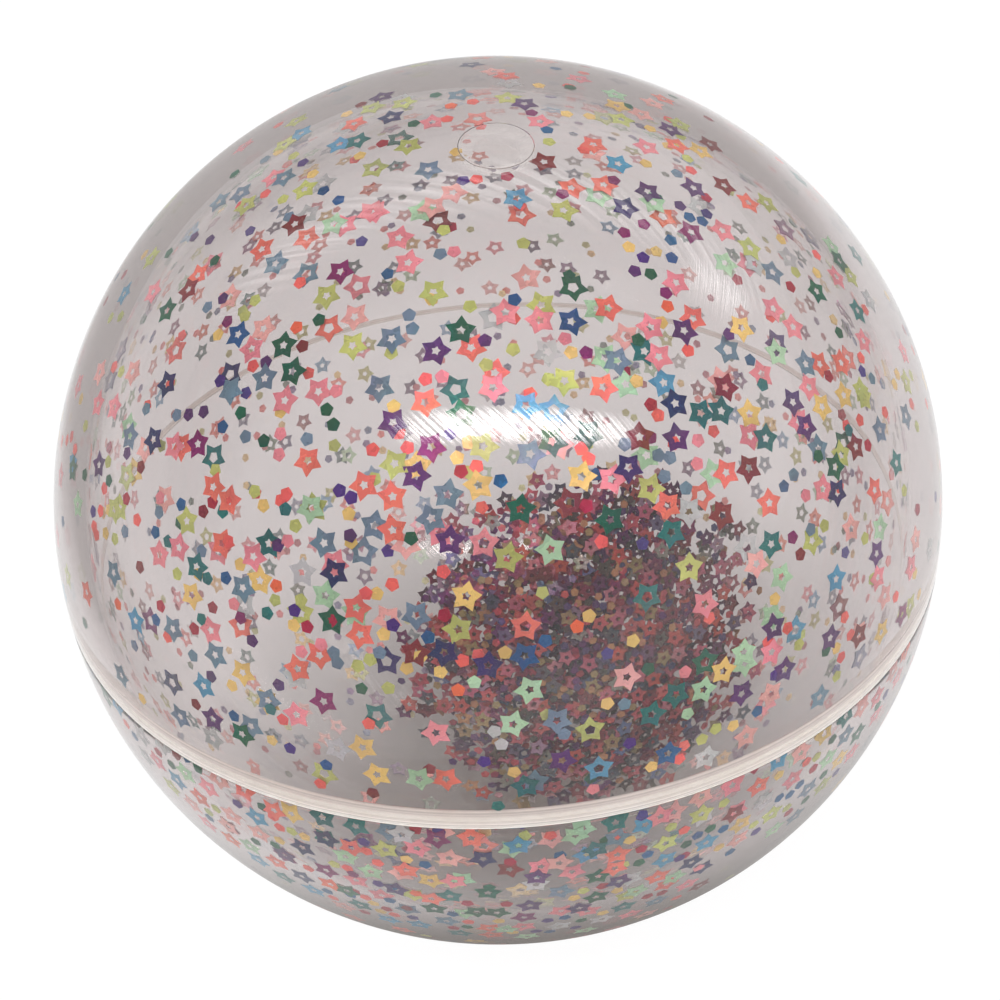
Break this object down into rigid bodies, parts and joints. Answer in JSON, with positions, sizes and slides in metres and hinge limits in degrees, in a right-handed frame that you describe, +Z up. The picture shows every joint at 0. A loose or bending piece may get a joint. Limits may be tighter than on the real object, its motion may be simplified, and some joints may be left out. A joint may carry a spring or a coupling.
{
  "type": "bouncy ball",
  "caption": "Clear hollow bouncy ball of two welded halves with a filling plug, holding star confetti that clings to the wall and lies in a loose heap.",
  "frame": {"origin": "centre of the ball", "axes": "+Z up with the ball as it lies; the moulding axis leans 27 degrees from +Z, towards 34 degrees from +X, and the plug lies 13 degrees off it"},
  "size_m": [0.1, 0.1, 0.1],
  "materials": {
    "clear_wall": "gloss",
    "weld": "gloss",
    "clear_plug": "gloss",
    "film_coral": "gloss",
    "film_pink": "gloss",
    "film_blush": "gloss",
    "film_orange": "gloss",
    "film_emerald": "gloss",
    "film_teal": "gloss",
    "film_indigo": "gloss",
    "film_plum": "gloss",
    "film_magenta": "gloss",
    "film_maroon": "gloss",
    "film_steel": "gloss",
    "film_sky": "gloss",
    "film_lime": "gloss",
    "film_mint": "gloss",
    "film_gold": "gloss",
    "film_silver": "gloss",
    "film_red": "gloss",
    "film_crimson": "gloss",
    "film_violet": "gloss",
    "film_blue": "gloss"
  },
  "bodies": {
    "ball": {"upper_half": "clear_wall", "lower_half": "clear_wall", "weld_ring": "weld", "fill_plug": "clear_plug", "wall_stars_coral": "film_coral", "wall_stars_pink": "film_pink", "wall_stars_blush": "film_blush", "wall_stars_orange": "film_orange", "wall_stars_emerald": "film_emerald", "wall_stars_teal": "film_teal", "wall_stars_indigo": "film_indigo", "wall_stars_plum": "film_plum", "wall_stars_magenta": "film_magenta", "wall_stars_maroon": "film_maroon", "wall_stars_steel": "film_steel", "wall_stars_sky": "film_sky", "wall_stars_lime": "film_lime", "wall_stars_mint": "film_mint", "wall_stars_gold": "film_gold", "wall_stars_silver": "film_silver", "wall_dots_red": "film_red", "wall_dots_crimson": "film_crimson", "wall_dots_violet": "film_violet", "wall_dots_emerald": "film_emerald", "wall_dots_blue": "film_blue", "wall_dots_lime": "film_lime", "wall_dots_gold": "film_gold"},
    "loose_confetti": {"heap_stars_coral": "film_coral", "heap_stars_pink": "film_pink", "heap_stars_blush": "film_blush", "heap_stars_orange": "film_orange", "heap_stars_emerald": "film_emerald", "heap_stars_teal": "film_teal", "heap_stars_indigo": "film_indigo", "heap_stars_plum": "film_plum", "heap_stars_magenta": "film_magenta", "heap_stars_maroon": "film_maroon", "heap_stars_steel": "film_steel", "heap_stars_sky": "film_sky", "heap_stars_lime": "film_lime", "heap_stars_mint": "film_mint", "heap_stars_gold": "film_gold", "heap_stars_silver": "film_silver", "heap_dots_red": "film_red", "heap_dots_crimson": "film_crimson", "heap_dots_violet": "film_violet", "heap_dots_emerald": "film_emerald", "heap_dots_blue": "film_blue", "heap_dots_lime": "film_lime", "heap_dots_gold": "film_gold"}
  },
  "joints": [
    {"name": "heap_slide_round", "type": "hinge", "parent": "ball", "child": "loose_confetti", "pos_m": [0, 0, 0], "axis": [0, 1, 0], "continuous": true}
  ]
}
